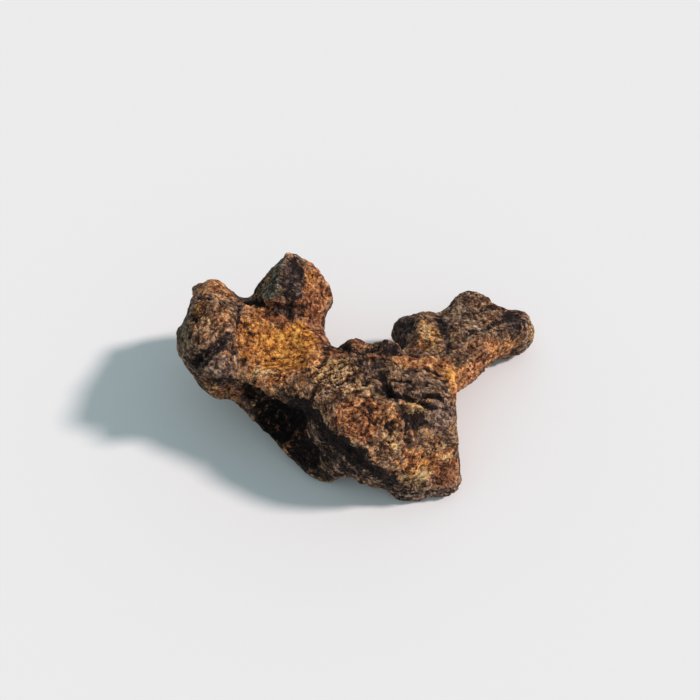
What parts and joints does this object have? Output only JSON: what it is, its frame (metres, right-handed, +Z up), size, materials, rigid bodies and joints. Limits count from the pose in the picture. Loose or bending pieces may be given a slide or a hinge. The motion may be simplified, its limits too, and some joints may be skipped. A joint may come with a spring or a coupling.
{
  "type": "meteorite",
  "caption": "Small rust-brown iron meteorite with two blunt horns, a bent arm, a flat sloping face and scooped hollows, lying as it rests on a table.",
  "frame": {"origin": "under the middle of the bounding box, on the surface that the stone lies on", "axes": "+X along the longest extent, from the horns towards the arm; +Y from the flat sloping face towards the horns' tips; +Z up, the shortest extent"},
  "size_m": [0.037, 0.0226, 0.0127],
  "materials": {
    "rusted_iron": "rough, weathered and rusted"
  },
  "bodies": {
    "root": {"meteorite": "rusted_iron"}
  },
  "joints": []
}
